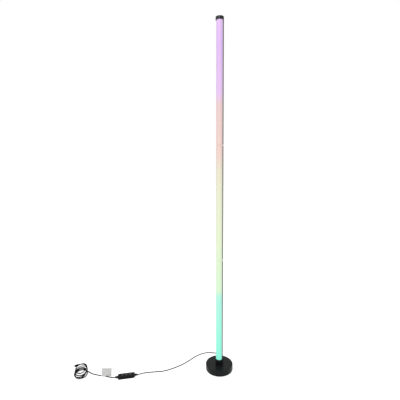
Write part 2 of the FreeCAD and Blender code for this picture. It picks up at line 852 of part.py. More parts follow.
def make_controller_screws():
    screws = []
    for side in (-1, 1):
        foot = vector(side * case_screw_x, 0, case_screw_sink)
        head = post(case_screw_head_diameter / 2, case_screw_head_height, foot)
        shank = post(case_screw_diameter / 2, case_screw_length, foot)
        screws.append(head.fuse(shank).removeSplitter())
    return place_controller(Part.makeCompound(screws))


def make_controller_board():
    return place_controller(box(-controller_board_length / 2, controller_board_length / 2,
                                -controller_width / 2 + controller_wall + slide_fit,
                                controller_width / 2 - controller_wall - slide_fit,
                                controller_board_height, board_top_height))


def make_controller_chips():
    """A driver chip and three small transistors, between the switches."""
    chips = [board_chip(button_spacing / 2, 0, driver_chip_length, driver_chip_width, driver_chip_height)]
    for row in (-1, 0, 1):
        chips.append(board_chip(-button_spacing / 2, row * transistor_pitch,
                                transistor_length, transistor_width, transistor_height))
    return place_controller(Part.makeCompound(chips))


def board_chip(x, y, length, width, height):
    return box(x - length / 2, x + length / 2, y - width / 2, y + width / 2,
               board_top_height, board_top_height + height)


switch_top = board_top_height + switch_height
button_flange_top = case_roof - moving_gap
button_underside = button_flange_top - button_flange_thickness
plunger_foot = switch_top - plunger_grip
switch_well_floor = plunger_foot - button_travel - moving_gap


def make_button_switches():
    switches = []
    for x in button_places().values():
        body = box(x - switch_size / 2, x + switch_size / 2, -switch_size / 2, switch_size / 2,
                   board_top_height, switch_top)
        well = post(plunger_diameter / 2 + moving_gap, switch_height, vector(x, 0, switch_well_floor))
        switches.append(body.cut(well))
    return place_controller(Part.makeCompound(switches))


def make_button(x):
    cap = button_plan(0, button_underside, controller_height + button_proud)
    cap = cap.makeFillet(button_edge_radius, edges_at(cap, controller_height + button_proud))
    button = cap.fuse(button_plan(button_flange_width, button_underside, button_flange_top))
    button.translate(vector(x, 0))
    return place_controller(button.removeSplitter())


def make_plunger(x):
    return place_controller(post(plunger_diameter / 2, button_underside - plunger_foot,
                                 vector(x, 0, plunger_foot)))


def make_relief(side):
    """The moulded strain relief at one end of the case, clamped by its inner flange."""
    out = vector(side, 0, 0)
    wall_inside = controller_length / 2 - controller_wall
    flange = post(relief_flange_diameter / 2, relief_flange_thickness,
                  vector(side * (wall_inside - relief_flange_thickness - slide_fit), 0, cord_height_at_case),
                  out)
    flange = flange.common(box(-controller_length, controller_length, -controller_width, controller_width,
                               case_floor + slide_fit, case_roof - slide_fit))
    neck = post(relief_neck_diameter / 2, controller_wall + 2 * slide_fit + relief_root,
                vector(side * (wall_inside - slide_fit), 0, cord_height_at_case), out)
    tail = Part.makeCone(relief_tail_diameter / 2, relief_tip_diameter / 2,
                         relief_tail_length - slide_fit,
                         vector(side * (controller_length / 2 + slide_fit), 0, cord_height_at_case), out)
    return place_controller(flange.fuse([neck, tail]).removeSplitter())


# ---------------------------------------------------------------- routes of the free cord

flag_cord_height = floor_height + flag_wrap_thickness
connector_height = floor_height + coil_foot_rise + coil_pitch * coil_turns + connector_lift

lamp_cord_points = [
    vector(0, bushing_tip, cord_exit_height),
    vector(0, bushing_tip + 3 * cord_diameter, cord_exit_height),
    vector(-7, 94, 9.0),
    vector(-21, 103.5, 5.8),
    vector(-39, 109, 3.0),
    vector(-58, 110, floor_height),
    vector(-77, 105.5, floor_height),
    vector(-96, 94, floor_height),
    vector(-114, 77, floor_height),
    vector(-130, 56, floor_height),
    vector(-145, 29, floor_height),
    vector(-163, 1, floor_height),
    vector(-186, -25, floor_height),
    vector(-213, -50, floor_height),
    vector(-241, -70.5, floor_height),
    vector(-271, -79.5, floor_height),
    vector(-299, -90, 2.8),
    vector(-321.5, -101.5, 4.6),
    controller_point(relief_reach + 2 * cord_diameter, 0, cord_height_at_case),
    controller_point(relief_reach, 0, cord_height_at_case),
]

supply_cord_points = [
    controller_point(-relief_reach, 0, cord_height_at_case),
    controller_point(-relief_reach - 3 * cord_diameter, 0, cord_height_at_case),
    vector(-459, -152.5, flag_cord_height),
    vector(-509, -151.5, flag_cord_height),
    vector(-533, -148.7, floor_height),
    vector(-551, -144.5, floor_height),
    coil_point(0.0) - coil_way(0.0) * 3 * cord_diameter,
    coil_point(0.0) - coil_way(0.0) * cord_diameter,
]

connector_way = (coil_place(-1, -0.4, 0) - coil_place(0, 0, 0)).normalize()
connector_mouth = coil_place(-29.3, 2.5, connector_height)
connector_entry = connector_mouth - connector_way * (connector_length + connector_tail_length)

connector_lead_points = [
    coil_point(coil_turns) + coil_way(coil_turns) * cord_diameter,
    coil_point(coil_turns) + coil_way(coil_turns) * 3 * cord_diameter,
    coil_place(21, 4.5, connector_height - 3.5),
    coil_place(15.5, 11.6, connector_height - 2.4),
    coil_place(8, 15.2, connector_height - 1.2),
    connector_entry - connector_way * connector_straight,
    connector_entry,
]


# ---------------------------------------------------------------- label flag and connector

def make_label_flag():
    """A blank paper label wrapped round the cord, its two leaves stuck together and standing up."""
    corner = supply_cord_points[3]
    along = (supply_cord_points[2] - corner).normalize()
    start = corner + along * (arc_share * (supply_cord_points[4] - corner).Length)
    outside = post(cord_radius + flag_wrap_thickness, flag_wrap_length, start, along)
    leaf = box(-flag_width / 2, flag_width / 2, -flag_thickness / 2, flag_thickness / 2,
               cord_radius + flag_foot_gap, flag_height)
    leaf.rotate(vector(0, 0), vector(1, 0, 0), -flag_lean)
    leaf.rotate(vector(0, 0), vector(0, 0, 1), math.degrees(math.atan2(along.y, along.x)) + flag_skew)
    leaf.translate(start + along * (flag_wrap_length / 2 + flag_shift))
    inside = post(cord_radius, flag_wrap_length, start, along)
    return outside.fuse(leaf).cut(inside).removeSplitter()


def connector_post(radius, length, depth):
    """A cylinder on the connector's axis that starts depth inside the mouth and runs to the cord."""
    return post(radius, length, connector_mouth - connector_way * depth, connector_way * -1)


def make_connector_body():
    barrel = connector_post(connector_diameter / 2, connector_length, 0)
    rims = [edge for edge in barrel.Edges if edge.Closed]
    barrel = barrel.makeFillet(connector_edge_radius, rims)
    tail = Part.makeCone(connector_tail_diameter / 2, connector_tip_diameter / 2, connector_tail_length,
                         connector_mouth - connector_way * connector_length, connector_way * -1)
    bore = connector_post(socket_bore_diameter / 2, socket_bore_depth, 0)
    return barrel.fuse(tail).cut(bore).removeSplitter()


def make_connector_contact():
    length = socket_bore_depth - contact_recess
    outer = connector_post(socket_bore_diameter / 2, length, contact_recess)
    return outer.cut(connector_post(socket_bore_diameter / 2 - contact_thickness, length, contact_recess))


def make_connector_pin():
    return connector_post(pin_diameter / 2, socket_bore_depth - pin_recess, pin_recess)


# ---------------------------------------------------------------- all nodes

def build():
    os.makedirs("parts", exist_ok=True)
    save("foot_pad", make_foot_pad())
    save("base_plate", make_base_plate())
    save("base_weight", make_base_weight())
    save("base_cover", make_base_cover())
    save("base_screws", Part.makeCompound([base_screw(place, countersunk_screw) for place in boss_places()]))
    save("pole_socket", make_pole_socket())
    save("foot_screws", Part.makeCompound([foot_screw(side, countersunk_screw) for side in (-1, 1)]))
    save("cord_bushing", make_cord_bushing())
    save("inner_lead", make_inner_lead())
    save("cord_clamp", make_cord_clamp())
    save("clamp_screws", make_clamp_screws())
    for index, name in enumerate(section_names):
        save("channel_" + name, make_channel(index))
        save("diffuser_" + name, make_diffuser(index))
        save("led_board_" + name, make_led_board(index))
        save("leds_" + name, make_leds(index))
    for index, name in enumerate(section_names[:-1]):
        save("joint_" + name, make_joint(index))
        save("board_link_" + name, make_board_link(index))
    save("joint_screws", make_joint_screws())
    save("board_terminal", on_pole(terminal_box(0)))
    save("top_cap", make_top_cap())
    save("top_cap_screws", on_pole(Part.makeCompound(
        [cap_screw(side, countersunk_screw) for side in (-1, 1)])))
    save("lamp_cord", cord_tube("lamp_cord", lamp_cord_points))
    save("controller_bottom", make_controller_bottom())
    save("controller_top", make_controller_top())
    save("controller_screws", make_controller_screws())
    save("controller_board", make_controller_board())
    save("controller_chips", make_controller_chips())
    save("button_switches", make_button_switches())
    for name, x in button_places().items():
        save(name + "_button", make_button(x))
        save(name + "_plunger", make_plunger(x))
    save("relief_lamp_side", make_relief(1))
    save("relief_supply_side", make_relief(-1))
    save("supply_cord", cord_tube("supply_cord", supply_cord_points))
    save("label_flag", make_label_flag())
    save("cord_coil", make_cord_coil())
    save("connector_lead", cord_tube("connector_lead", connector_lead_points))
    save("connector_body", make_connector_body())
    save("connector_contact", make_connector_contact())
    save("connector_pin", make_connector_pin())
    print("lamp height", lamp_height)


build()
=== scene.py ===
import bpy
import math
from mathutils import Matrix, Vector


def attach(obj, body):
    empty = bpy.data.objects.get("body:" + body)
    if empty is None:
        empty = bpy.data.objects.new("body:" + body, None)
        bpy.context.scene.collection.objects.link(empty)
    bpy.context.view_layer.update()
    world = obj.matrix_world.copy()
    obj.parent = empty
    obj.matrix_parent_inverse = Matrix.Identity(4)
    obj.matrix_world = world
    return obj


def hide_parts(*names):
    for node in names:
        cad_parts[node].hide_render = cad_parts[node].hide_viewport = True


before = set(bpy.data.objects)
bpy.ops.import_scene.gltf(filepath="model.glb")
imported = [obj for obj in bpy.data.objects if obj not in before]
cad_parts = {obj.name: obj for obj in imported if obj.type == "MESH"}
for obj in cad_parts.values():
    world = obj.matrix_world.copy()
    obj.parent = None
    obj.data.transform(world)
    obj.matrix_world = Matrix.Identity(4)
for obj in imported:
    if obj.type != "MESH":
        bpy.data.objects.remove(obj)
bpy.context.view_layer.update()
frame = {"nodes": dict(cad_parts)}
nodes = frame["nodes"]

# Corner floor lamp: a weighted round base, a slim lit bar in three sections, and a thin cord with a
# push-button controller, a blank paper label, a loose coil and a small round connector.
# Metres.  +Z is up, -Y is the lit front.


# ---------------------------------------------------------------- sizes shared with the solids

CORD = 0.004
FLOOR_CORD = 0.00205                    # height of the cord's middle where it lies on the floor
CONTROLLER_PLACE = Vector((-0.387, -0.1368, 0.0))
CONTROLLER_TURN = math.radians(22.5)
CASE_MIDDLE = 0.00625
RELIEF_REACH = 0.048                    # from the case's middle to a strain relief's tip
BUTTON_TOP = 0.0133
BUTTON_SPACING = 0.016

COIL_PLACE = Vector((-0.5978, -0.1422, 0.0))
COIL_TURN = math.radians(24)
COIL_TURNS = 4.8
COIL_PITCH = 0.00475
COIL_POINTS_PER_TURN = 15
CONNECTOR_LENGTH = 0.0225
CONNECTOR_HEIGHT = 0.0300

BUSHING_FOOT = 0.05535                  # the inner face of the strain relief in the base's rear wall
BUSHING_TIP = 0.070
CORD_EXIT_HEIGHT = 0.011
LAMP_HEIGHT = 1.5
CHANNEL_BACK = 0.018
SCREW_PORTS = [(-0.00995, 0.01395), (0.00995, 0.01395)]
JOINT_SCREW_HEIGHTS = (0.492, 0.518, 0.984, 1.010)


# ---------------------------------------------------------------- camera

CAMERA_PLACE = (0.1883, -1.3401, 0.9220)
CAMERA_TURN = math.radians(11.516)
CAMERA_DIP = math.radians(6.55)
CAMERA_ROLL = math.radians(-0.283)

camera = bpy.data.objects.new("camera", bpy.data.cameras.new("camera"))
bpy.context.scene.collection.objects.link(camera)
camera.data.lens = 28.8                 # on a 36 mm wide sensor
camera.data.clip_end = 60
camera.matrix_world = (Matrix.Translation(CAMERA_PLACE)
                       @ Matrix.Rotation(CAMERA_TURN, 4, "Z")
                       @ Matrix.Rotation(math.radians(90) - CAMERA_DIP, 4, "X")
                       @ Matrix.Rotation(CAMERA_ROLL, 4, "Z"))
bpy.context.scene.camera = camera


# ---------------------------------------------------------------- materials

def linear(hex_code):
    """An sRGB hex colour as linear red, green, blue and alpha."""
    channels = [int(hex_code[start:start + 2], 16) / 255 for start in (1, 3, 5)]
    return [c / 12.92 if c <= 0.04045 else ((c + 0.055) / 1.055) ** 2.4 for c in channels] + [1.0]


def add_node(material, kind, settings, links=None):
    """Adds one shader node. settings go to its sockets or its own options, and links feed its sockets."""
    node = material.node_tree.nodes.new(kind)
    for name, value in settings.items():
        if isinstance(name, int) or name in node.inputs:
            node.inputs[name].default_value = value
        else:
            setattr(node, name, value)
    for name, output in (links or {}).items():
        material.node_tree.links.new(output, node.inputs[name])
    return node


def new_material(name, settings):
    """A material with a plain shader, the sockets that are the same all over set on the shader itself."""
    material = bpy.data.materials.new(name)
    material.use_nodes = True
    shader = material.node_tree.nodes["Principled BSDF"]
    for socket, value in settings.items():
        shader.inputs[socket].default_value = value
    return material, shader


def grained(name, dark, light, grain, relief, roughness, settings, stretch=(1, 1, 1)):
    """A solid-coloured surface with a fine grain: its colour, gloss and relief all waver together.

    grain and relief are in metres; stretch draws the grain out along an axis, as a die or a brush does.
    """
    material, shader = new_material(name, settings)
    place = add_node(material, "ShaderNodeTexCoord", {})
    drawn = add_node(material, "ShaderNodeMapping", {"Scale": stretch}, {"Vector": place.outputs["Object"]})
    fine = add_node(material, "ShaderNodeTexNoise", {"Scale": 1 / grain, "Detail": 3.0, "Roughness": 0.6},
                    {"Vector": drawn.outputs["Vector"]})
    broad = add_node(material, "ShaderNodeTexNoise", {"Scale": 0.06 / grain, "Detail": 2.0},
                     {"Vector": drawn.outputs["Vector"]})
    blend = add_node(material, "ShaderNodeMath", {"operation": "MULTIPLY_ADD", 1: 0.6, 2: -0.1},
                     {0: fine.outputs["Fac"]})
    both = add_node(material, "ShaderNodeMath", {"operation": "MULTIPLY_ADD", 1: 0.6},
                    {0: broad.outputs["Fac"], 2: blend.outputs["Value"]})
    tone = add_node(material, "ShaderNodeMix", {"data_type": "RGBA", 6: linear(dark), 7: linear(light)},
                    {0: both.outputs["Value"]})
    gloss = add_node(material, "ShaderNodeMapRange", {"To Min": roughness[0], "To Max": roughness[1]},
                     {"Value": both.outputs["Value"]})
    bump = add_node(material, "ShaderNodeBump", {"Strength": 1.0, "Distance": relief},
                    {"Height": fine.outputs["Fac"]})
    links = material.node_tree.links
    links.new(tone.outputs[2], shader.inputs["Base Color"])
    links.new(gloss.outputs["Result"], shader.inputs["Roughness"])
    links.new(bump.outputs["Normal"], shader.inputs["Normal"])
    return material


# Heights in metres with the colour of the light there, from the floor up.
LIGHT_COLOURS = [
    (0.05, "#8EFFE2"), (0.34, "#B4FAE6"), (0.372, "#DBFAD4"), (0.60, "#E8F5D2"),
    (0.83, "#ECEBCF"), (0.90, "#ECE3CD"), (0.96, "#F1D4CA"), (1.155, "#EDCDCC"),
    (1.205, "#E8C5F2"), (1.40, "#E0BBF2"), (1.50, "#E6C3F5")]


def lit_polycarbonate(name, strength, shade, edge):
    """Milky extruded polycarbonate lit from behind: the colour runs with the height, and the two sides,
    which are further from the light board, are a little dimmer than the middle.  The base colour is the
    light's colour at a third, painted glow in place of the milky white.  edge is what is left of the light
    and of the base colour in the last millimetre before the channel: painted shade of the channel's lips."""
    material, shader = new_material(name, {"Roughness": 0.38, "IOR": 1.585, "Specular IOR Level": 0.3,
                                           "Emission Strength": strength})
    place = add_node(material, "ShaderNodeTexCoord", {})
    axes = add_node(material, "ShaderNodeSeparateXYZ", {}, {"Vector": place.outputs["Object"]})
    height = add_node(material, "ShaderNodeMath", {"operation": "DIVIDE", 1: LAMP_HEIGHT},
                      {0: axes.outputs["Z"]})
    run = add_node(material, "ShaderNodeValToRGB", {}, {"Fac": height.outputs["Value"]})
    stops = run.color_ramp.elements
    for stop, (level, colour) in zip([stops[0], stops[1]], [LIGHT_COLOURS[0], LIGHT_COLOURS[-1]]):
        stop.position = level / LAMP_HEIGHT
        stop.color = linear(colour)
    for level, colour in LIGHT_COLOURS[1:-1]:
        stops.new(level / LAMP_HEIGHT).color = linear(colour)
    side = add_node(material, "ShaderNodeMath", {"operation": "DIVIDE", 1: 0.014}, {0: axes.outputs["X"]})
    even = add_node(material, "ShaderNodeMath", {"operation": "ABSOLUTE"}, {0: side.outputs["Value"]})
    falling = add_node(material, "ShaderNodeMath", {"operation": "POWER", 1: 2.5}, {0: even.outputs["Value"]})
    dimming = add_node(material, "ShaderNodeMapRange", {"To Min": 1.0, "To Max": 1.0 - shade},
                       {"Value": falling.outputs["Value"]})
    # In the last millimetre before the channel the light and the base colour both fall to edge: painted shade
    # of the channel's lips.
    shaded = add_node(material, "ShaderNodeMapRange",
                      {"interpolation_type": "SMOOTHSTEP", "From Min": 0.91, "From Max": 0.96,
                       "To Min": 1.0, "To Max": edge}, {"Value": even.outputs["Value"]})
    clear = add_node(material, "ShaderNodeVectorMath", {"operation": "SCALE"},
                     {0: run.outputs["Color"], "Scale": shaded.outputs["Result"]})
    glow = add_node(material, "ShaderNodeVectorMath", {"operation": "SCALE"},
                    {0: clear.outputs["Vector"], "Scale": dimming.outputs["Result"]})
    # The base colour: the light's colour at a third, painted glow, with the painted shade at the edge.
    glow_painted_base = add_node(material, "ShaderNodeVectorMath", {"operation": "SCALE", "Scale": 0.3},
                    {0: clear.outputs["Vector"]})
    die_lines = add_node(material, "ShaderNodeMapping", {"Scale": (1, 1, 0.004)},
                         {"Vector": place.outputs["Object"]})
    lines = add_node(material, "ShaderNodeTexNoise", {"Scale": 1400.0, "Detail": 1.0},
                     {"Vector": die_lines.outputs["Vector"]})
    bump = add_node(material, "ShaderNodeBump", {"Strength": 0.6, "Distance": 0.00002},
                    {"Height": lines.outputs["Fac"]})
    links = material.node_tree.links
    links.new(glow_painted_base.outputs["Vector"], shader.inputs["Base Color"])
    links.new(glow.outputs["Vector"], shader.inputs["Emission Color"])
    links.new(bump.outputs["Normal"], shader.inputs["Normal"])
    return material


# Black ABS from a spark-eroded mould: a fine, even satin grain.  Drawn twice as coarse as it is, to show.
satin_abs = grained("satin_abs", "#141617", "#1D1F20", 0.0012, 0.00002, (0.24, 0.36),
                    {"IOR": 1.54, "Specular IOR Level": 0.08})
# The same plastic from a polished mould: deep black, with a faint unevenness in its reflections.
polished_abs = grained("polished_abs", "#0F1012", "#161719", 0.004, 0.00001, (0.20, 0.28),
                       {"IOR": 1.54, "Specular IOR Level": 0.22})
# Extruded aluminium, black anodised: faint lines drawn along the upright.
anodised_aluminium = grained("anodised_aluminium", "#151618", "#222327", 0.0007, 0.000015, (0.46, 0.60),
                             {"IOR": 1.6, "Specular IOR Level": 0.03}, stretch=(1, 1, 0.008))
# Flexible PVC over the cord: dark, waxy, with a faint dull bloom.
pvc_jacket = grained("pvc_jacket", "#0F0F10", "#19191A", 0.0015, 0.00002, (0.48, 0.60),
                     {"IOR": 1.53, "Specular IOR Level": 0.04})
# Softer PVC moulded over the cord at the strain reliefs and the connector.
moulded_pvc = grained("moulded_pvc", "#101011", "#1A1A1B", 0.0009, 0.00003, (0.48, 0.62),
                      {"IOR": 1.53, "Specular IOR Level": 0.07})
# The controller's case, finer than the base.
case_abs = grained("case_abs", "#0E0F10", "#171819", 0.0008, 0.00002, (0.40, 0.52),
                   {"IOR": 1.54, "Specular IOR Level": 0.07})
button_abs = grained("button_abs", "#3C3D40", "#48494C", 0.0008, 0.00002, (0.45, 0.55),
                     {"IOR": 1.54, "Specular IOR Level": 0.15})
pad_print = grained("pad_print", "#8B8D8F", "#9A9C9E", 0.0005, 0.000005, (0.5, 0.6), {"IOR": 1.5})
# Black zinc on steel: dark metal with a slight colour-free mottle.
zinc_plated_steel = grained("zinc_plated_steel", "#5C5D5F", "#77787A", 0.0009, 0.00001, (0.28, 0.42),
                            {"Metallic": 1.0})
rolled_steel_plate = grained("rolled_steel_plate", "#2A2B2D", "#38393B", 0.0015, 0.00001, (0.35, 0.5),
                             {"Metallic": 0.8}, stretch=(1, 0.05, 1))
# Grey iron from a sand mould, with the sand's grain in its skin.
cast_iron = grained("cast_iron", "#2B2927", "#3D3A37", 0.0016, 0.00015, (0.6, 0.8), {"Metallic": 0.6})
# Closed-cell foam sheet, die-cut: open bubbles at the cut face.
foam_sheet = grained("foam_sheet", "#141415", "#242425", 0.0008, 0.0001, (0.8, 0.95),
                     {"IOR": 1.4, "Specular IOR Level": 0.2})
natural_nylon = grained("natural_nylon", "#D4D2C8", "#E4E2DA", 0.0012, 0.00002, (0.38, 0.5), {"IOR": 1.53})
black_nylon = grained("black_nylon", "#1A1A1B", "#252526", 0.0009, 0.00002, (0.4, 0.52), {"IOR": 1.53})
# White solder mask over an aluminium-cored board.
white_board = grained("white_board", "#DEDEDB", "#ECECEA", 0.0008, 0.00001, (0.3, 0.42), {"IOR": 1.5})
green_board = grained("green_board", "#12442A", "#1B5A38", 0.0007, 0.00001, (0.25, 0.38), {"IOR": 1.5})
chip_epoxy = grained("chip_epoxy", "#18181A", "#222224", 0.0006, 0.00001, (0.5, 0.62), {"IOR": 1.55})
led_package = grained("led_package", "#E6DFB0", "#F1ECC8", 0.001, 0.00001, (0.2, 0.35), {"IOR": 1.5})
nickel_plate = grained("nickel_plate", "#A9A69C", "#C2BFB5", 0.0008, 0.000005, (0.18, 0.3),
                       {"Metallic": 1.0})
# Coated label paper: white, drawn light grey as painted soft shade of its folds, with a very faint cloud of
# fibres.
label_paper = grained("label_paper", "#C6C6C5", "#D6D6D5", 0.0022, 0.00003, (0.5, 0.65),
                      {"IOR": 1.5, "Specular IOR Level": 0.1})
lit_diffuser = lit_polycarbonate("lit_polycarbonate", 0.70, 0.22, 0.03)
lit_coupler = lit_polycarbonate("lit_polycarbonate_coupler", 0.66, 0.22, 1.0)

FINISHES = {
    "foot_pad": foam_sheet, "base_plate": rolled_steel_plate, "base_weight": cast_iron,
    "base_cover": satin_abs, "base_screws": zinc_plated_steel, "pole_socket": polished_abs,
    "foot_screws": zinc_plated_steel, "cord_bushing": moulded_pvc, "inner_lead": pvc_jacket,
    "cord_clamp": black_nylon, "clamp_screws": zinc_plated_steel, "joint_screws": zinc_plated_steel,
    "board_terminal": natural_nylon, "top_cap": polished_abs, "top_cap_screws": zinc_plated_steel,
    "joint_lower": lit_coupler, "joint_middle": lit_coupler, "board_link_lower": natural_nylon,
    "board_link_middle": natural_nylon, "controller_bottom": case_abs, "controller_top": case_abs,
    "controller_screws": zinc_plated_steel, "controller_board": green_board, "controller_chips": chip_epoxy,
    "button_switches": chip_epoxy, "relief_lamp_side": moulded_pvc, "relief_supply_side": moulded_pvc,
    "label_flag": label_paper, "connector_body": moulded_pvc, "connector_contact": nickel_plate,
    "connector_pin": nickel_plate, "lamp_cord": pvc_jacket, "supply_cord": pvc_jacket,
    "cord_coil": pvc_jacket, "connector_lead": pvc_jacket}
for level in ("lower", "middle", "upper"):
    FINISHES["channel_" + level] = anodised_aluminium
    FINISHES["diffuser_" + level] = lit_diffuser
    FINISHES["led_board_" + level] = white_board
    FINISHES["leds_" + level] = led_package
for key in ("power", "colour", "speed"):
    FINISHES[key + "_button"] = button_abs
    FINISHES[key + "_plunger"] = natural_nylon

for name, node in nodes.items():
    node.data.materials.clear()
    node.data.materials.append(FINISHES[name])


# ---------------------------------------------------------------- cords

def controller_point(x, y, height):
    return CONTROLLER_PLACE + Matrix.Rotation(CONTROLLER_TURN, 3, "Z") @ Vector((x, y, height))


def coil_place(x, y, height):
    """A place given across and along the coil."""
    return COIL_PLACE + Matrix.Rotation(COIL_TURN, 3, "Z") @ Vector((x, y, height))


def coil_point(turns):
    """The coil's centre line: loops of unlike size that fan out as they climb."""
    angle = 2 * math.pi * turns + math.radians(52)
    half_width = 0.025 + 0.0016 * math.sin(2.3 * turns + 0.6)
    half_length = 0.028 + 0.010 * (1 - math.exp(-1.1 * turns))
    sway = math.radians(7) * math.sin(1.7 * turns + 0.4)
    across = half_width * math.cos(angle)
    along = half_length * math.sin(angle)
    x = across * math.cos(sway) - along * math.sin(sway) + 0.0016 * math.sin(2.1 * turns + 0.3)
    y = across * math.sin(sway) + along * math.cos(sway) + 0.0018 * turns ** 2 - 0.0065 * turns - 0.017
    return coil_place(x, y, 0.0024 + COIL_PITCH * turns)


def coil_way(turns):
    step = 0.0005
    return (coil_point(turns + step) - coil_point(turns - step)).normalized()


def laid_cord(name, points, material):
    """A round cord on one smooth curve with these control points."""
    curve = bpy.data.curves.new(name, "CURVE")
    curve.dimensions = "3D"
    curve.bevel_depth = CORD / 2
    curve.bevel_resolution = 5
    curve.resolution_u = 10
    curve.use_fill_caps = True
    spline = curve.splines.new("NURBS")
    spline.points.add(len(points) - 1)
    for point, place in zip(spline.points, points):
        point.co = (*place, 1.0)
    spline.order_u = 3
    spline.use_endpoint_u = True
    curve.materials.append(material)
    piece = bpy.data.objects.new(name, curve)
    bpy.context.scene.collection.objects.link(piece)
    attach(piece, "lamp")
    return piece


lamp_lead_points = [
    (0, BUSHING_TIP, CORD_EXIT_HEIGHT), (0, BUSHING_TIP + 3 * CORD, CORD_EXIT_HEIGHT),
    (-0.007, 0.094, 0.009), (-0.021, 0.1035, 0.0058), (-0.039, 0.109, 0.003),
    (-0.058, 0.110, FLOOR_CORD), (-0.077, 0.1055, FLOOR_CORD), (-0.096, 0.094, FLOOR_CORD),
    (-0.114, 0.077, FLOOR_CORD), (-0.130, 0.056, FLOOR_CORD), (-0.145, 0.029, FLOOR_CORD),
    (-0.163, 0.001, FLOOR_CORD), (-0.186, -0.025, FLOOR_CORD), (-0.213, -0.050, FLOOR_CORD),
    (-0.241, -0.0705, FLOOR_CORD), (-0.271, -0.0795, FLOOR_CORD), (-0.299, -0.090, 0.0028),
    (-0.3215, -0.1015, 0.0046),
    controller_point(RELIEF_REACH + 2 * CORD, 0, CASE_MIDDLE), controller_point(RELIEF_REACH, 0, CASE_MIDDLE)]

connector_way = coil_place(-1, -0.4, 0) - coil_place(0, 0, 0)
connector_way.normalize()
connector_mouth = coil_place(-0.0293, 0.0025, CONNECTOR_HEIGHT)
connector_entry = connector_mouth - connector_way * CONNECTOR_LENGTH

supply_lead_points = [
    controller_point(-RELIEF_REACH, 0, CASE_MIDDLE),
    controller_point(-RELIEF_REACH - 3 * CORD, 0, CASE_MIDDLE),
    (-0.459, -0.1525, 0.0024), (-0.509, -0.1515, 0.0024), (-0.533, -0.1487, FLOOR_CORD),
    (-0.551, -0.1445, FLOOR_CORD),
    coil_point(0) - coil_way(0) * 3 * CORD, coil_point(0) - coil_way(0) * CORD]
coil_steps = round(COIL_TURNS * COIL_POINTS_PER_TURN)
supply_lead_points += [coil_point(COIL_TURNS * step / coil_steps) for step in range(coil_steps + 1)]
supply_lead_points += [
    coil_point(COIL_TURNS) + coil_way(COIL_TURNS) * CORD,
    coil_point(COIL_TURNS) + coil_way(COIL_TURNS) * 3 * CORD,
    coil_place(0.021, 0.0045, CONNECTOR_HEIGHT - 0.0035),
    coil_place(0.0155, 0.0116, CONNECTOR_HEIGHT - 0.0024),
    coil_place(0.008, 0.0152, CONNECTOR_HEIGHT - 0.0012), connector_entry - connector_way * 0.009,
    connector_entry]

lamp_lead = laid_cord("lamp_lead", lamp_lead_points, pvc_jacket)
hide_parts("lamp_cord")
supply_lead = laid_cord("supply_lead", supply_lead_points, pvc_jacket)
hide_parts("supply_cord", "cord_coil", "connector_lead")


# ---------------------------------------------------------------- turned pieces

def turned(name, stations, sides=48):
    """A closed round piece about the Z axis, drawn out ring by ring through (height, radius) stations."""
    bpy.ops.object.select_all(action="DESELECT")
    height, radius = stations[0]
    bpy.ops.mesh.primitive_circle_add(vertices=sides, radius=radius, fill_type="NGON",
                                      location=(0, 0, height))
    piece = bpy.context.object
    piece.name = piece.data.name = name
    bpy.ops.object.mode_set(mode="EDIT")
    bpy.ops.mesh.select_all(action="SELECT")
    for next_height, next_radius in stations[1:]:
        grow = next_radius / radius
        bpy.ops.mesh.extrude_region_move(TRANSFORM_OT_translate={"value": (0, 0, next_height - height)})
        bpy.ops.transform.resize(value=(grow, grow, 1), center_override=(0, 0, next_height))
        height, radius = next_height, next_radius
    bpy.ops.mesh.select_all(action="SELECT")
    bpy.ops.mesh.normals_make_consistent(inside=False)
    bpy.ops.object.mode_set(mode="OBJECT")
    bpy.ops.object.transform_apply(location=True, rotation=True, scale=True)
    return piece


def lay(piece, place, way):
    """Turns a piece's Z axis to point along a way and moves it to its place, all in its mesh."""
    piece.data.transform(Matrix.Translation(place) @ Vector(way).to_track_quat("Z", "Y").to_matrix().to_4x4())


def own_copy(piece, name):
    twin = piece.copy()
    twin.data = piece.data.copy()
    twin.name = twin.data.name = name
    bpy.context.scene.collection.objects.link(twin)
    return twin


def joined(pieces, name):
    bpy.ops.object.select_all(action="DESELECT")
    for piece in pieces:
        piece.select_set(True)
    bpy.context.view_layer.objects.active = pieces[0]
    bpy.ops.object.join()
    pieces[0].name = pieces[0].data.name = name
    return pieces[0]


def apply_modifier(piece, kind, settings):
    """Adds a modifier with these settings and applies it."""
    bpy.context.view_layer.objects.active = piece
    change = piece.modifiers.new("change", kind)
    for setting, value in settings.items():
        setattr(change, setting, value)
    bpy.ops.object.modifier_apply(modifier="change")


def dressed(piece, material, body, slot, *nodes):
    """Gives a new piece its material and its body, and hides the nodes that it stands for; slot is not used.
    """
    bpy.ops.object.select_all(action="DESELECT")
    piece.select_set(True)
    bpy.context.view_layer.objects.active = piece
    bpy.ops.object.shade_smooth_by_angle(angle=math.radians(38))
    piece.data.materials.clear()
    piece.data.materials.append(material)
    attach(piece, body)
    if nodes:
        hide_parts(*nodes)
    return piece


def ring_stations(start, end, first_radius, last_radius, rings, groove):
    """Stations of a tail whose raised rings, softened at both edges, get smaller towards its end."""
    pitch = (end - start) / rings
    stations = []
    for ring in range(rings):
        foot = start + ring * pitch
        radius = first_radius + (last_radius - first_radius) * ring / (rings - 1)
        profile = ((0.0, groove), (0.02, 0.0002), (0.10, 0.0), (0.56, 0.0), (0.64, 0.0002), (0.66, groove))
        stations += [(foot + share * pitch, radius - sink) for share, sink in profile]
    return stations + [(end, last_radius - groove)]


